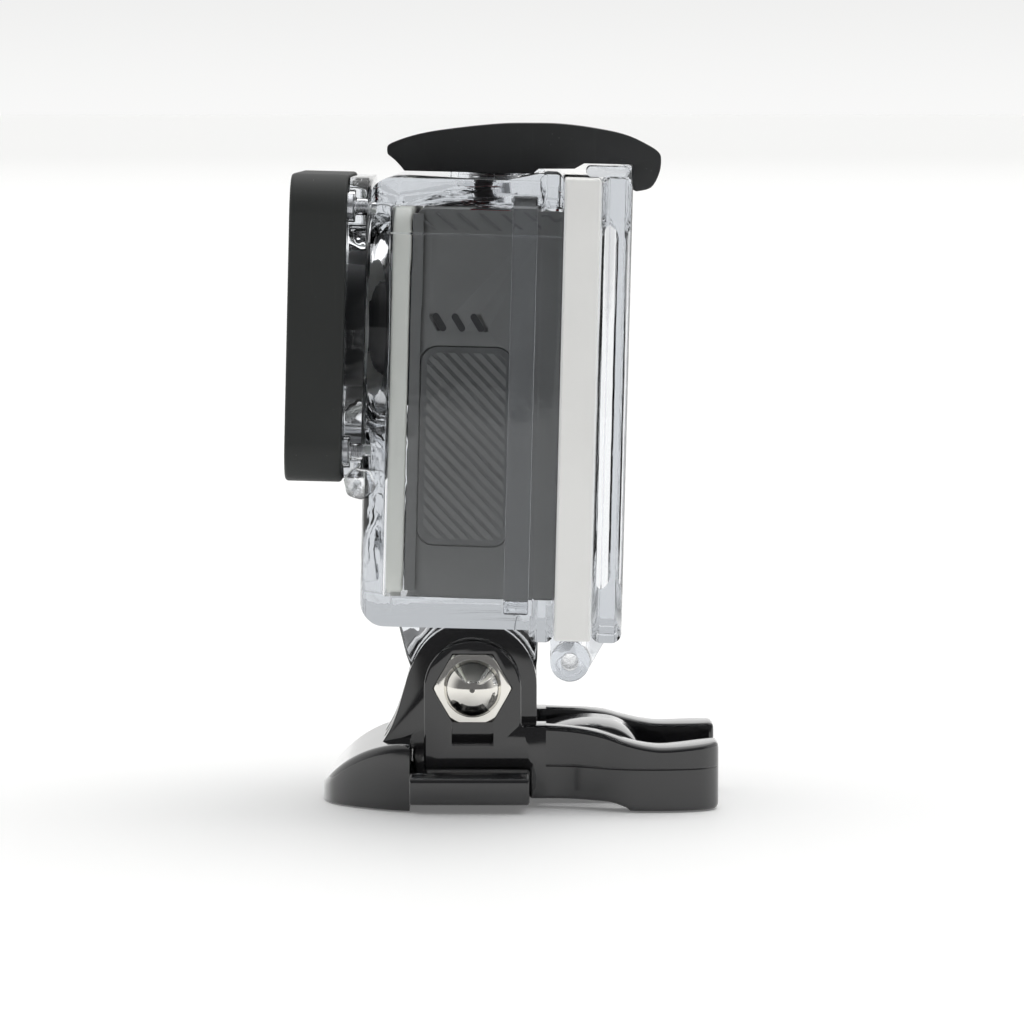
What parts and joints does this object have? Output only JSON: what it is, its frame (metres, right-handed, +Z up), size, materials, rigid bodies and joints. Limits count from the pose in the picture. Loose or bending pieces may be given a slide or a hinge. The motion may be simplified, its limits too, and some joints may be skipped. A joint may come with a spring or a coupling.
{
  "type": "action camera",
  "caption": "Small action camera inside a clear dive housing with a latched back door, a lens port cap and a quick-release buckle that it tilts on.",
  "frame": {"origin": "on the buckle's flat base face, straight under the tilt pivot and midway across the buckle", "axes": "+Z up out of the base face, -Y the way the lens looks, +X the camera's own left"},
  "size_m": [0.068, 0.0498, 0.08],
  "materials": {
    "alloy": "bare sheet",
    "black_plastic": "satin black",
    "board": "solder-masked circuit board",
    "buckle_black": "gloss black moulded plastic",
    "button_red": "shutter button",
    "cam_grey": "fine-textured mid grey",
    "cap_black": "fine matt dark grey",
    "cell": "battery pouch in a sleeve",
    "chrome": "polished acorn nut",
    "clear": "clear polycarbonate",
    "gasket": "white silicone",
    "latch_black": "satin dark grey",
    "lens": "coated optical glass",
    "plate_white": "satin off-white",
    "screen": "black display glass",
    "seal": "black seal",
    "steel": "stainless steel",
    "window": "coated port glass"
  },
  "bodies": {
    "buckle": {"buckle_base": "buckle_black", "acorn_nut": "chrome"},
    "left_leg": {"left_leg": "buckle_black"},
    "right_leg": {"right_leg": "buckle_black"},
    "clamp_screw": {"clamp_bolt": "steel", "clamp_knob": "buckle_black"},
    "housing": {"housing_shell": "clear", "housing_fingers": "clear", "port_frame": "clear", "port_window": "window", "port_seal": "gasket", "port_screws": "steel", "door_hinge_pin": "clear", "shutter_oring": "seal", "power_oring": "seal", "mode_oring": "seal", "shutter_spring": "steel", "power_spring": "steel", "mode_spring": "steel", "camera_body": "cam_grey", "front_plate": "plate_white", "lens_barrel": "black_plastic", "lens_cover": "lens", "lens_group": "lens", "image_sensor": "board", "main_board": "board", "heat_spreader": "alloy", "battery": "cell", "battery_door": "cam_grey", "memory_card": "black_plastic", "speaker": "black_plastic", "side_door": "cam_grey", "rear_screen": "screen", "status_display": "screen"},
    "port_cap": {"port_cap": "cap_black"},
    "shutter_plunger": {"shutter_plunger": "latch_black"},
    "power_plunger": {"power_plunger": "clear"},
    "mode_plunger": {"mode_plunger": "latch_black"},
    "shutter_button": {"camera_shutter_button": "button_red"},
    "power_button": {"camera_power_button": "black_plastic"},
    "mode_button": {"camera_mode_button": "black_plastic"},
    "back_door": {"back_door": "clear", "door_gasket": "gasket"},
    "latch": {"latch": "latch_black"}
  },
  "joints": [
    {"name": "left_leg_flex", "type": "hinge", "parent": "buckle", "child": "left_leg", "pos_m": [0.0103, 0.0086, 0.005], "axis": [0, 0, 1], "range_deg": [0, 4], "stiffness_Nm_per_rad": 3},
    {"name": "right_leg_flex", "type": "hinge", "parent": "buckle", "child": "right_leg", "pos_m": [-0.0103, 0.0086, 0.005], "axis": [0, 0, -1], "range_deg": [0, 4], "stiffness_Nm_per_rad": 3},
    {"name": "clamp_turn", "type": "hinge", "parent": "buckle", "child": "clamp_screw", "pos_m": [0, 0, 0.014], "axis": [1, 0, 0], "continuous": true},
    {"name": "housing_tilt", "type": "hinge", "parent": "buckle", "child": "housing", "pos_m": [0, 0, 0.014], "axis": [1, 0, 0], "range_deg": [-20, 40]},
    {"name": "cap_pull", "type": "slide", "parent": "housing", "child": "port_cap", "axis": [0, -0.9997, 0.0244], "range_m": [0, 0.03]},
    {"name": "shutter_press", "type": "slide", "parent": "housing", "child": "shutter_plunger", "axis": [0, -0.0244, -0.9997], "range_m": [0, 0.0009], "stiffness_N_per_m": 900, "deforming": ["shutter_spring"]},
    {"name": "power_press", "type": "slide", "parent": "housing", "child": "power_plunger", "axis": [0, 0.9997, -0.0244], "range_m": [0, 0.0009], "stiffness_N_per_m": 900, "deforming": ["power_spring"]},
    {"name": "mode_press", "type": "slide", "parent": "housing", "child": "mode_plunger", "axis": [1, 0, 0], "range_m": [0, 0.0009], "stiffness_N_per_m": 900, "deforming": ["mode_spring"]},
    {"name": "shutter_button_press", "type": "slide", "parent": "housing", "child": "shutter_button", "axis": [0, -0.0244, -0.9997], "range_m": [0, 0.0009]},
    {"name": "power_button_press", "type": "slide", "parent": "housing", "child": "power_button", "axis": [0, 0.9997, -0.0244], "range_m": [0, 0.0009]},
    {"name": "mode_button_press", "type": "slide", "parent": "housing", "child": "mode_button", "axis": [1, 0, 0], "range_m": [0, 0.0009]},
    {"name": "door_swing", "type": "hinge", "parent": "housing", "child": "back_door", "pos_m": [0, 0.01138, 0.01722], "axis": [-1, 0, 0], "range_deg": [0, 90]},
    {"name": "latch_lift", "type": "hinge", "parent": "back_door", "child": "latch", "pos_m": [0, 0.01996, 0.07353], "axis": [-1, 0, 0], "range_deg": [0, 75]}
  ],
  "couplings": [
    {"joint": "shutter_button_press", "follows": "shutter_press", "ratio": 1},
    {"joint": "power_button_press", "follows": "power_press", "ratio": 1},
    {"joint": "mode_button_press", "follows": "mode_press", "ratio": 1}
  ]
}
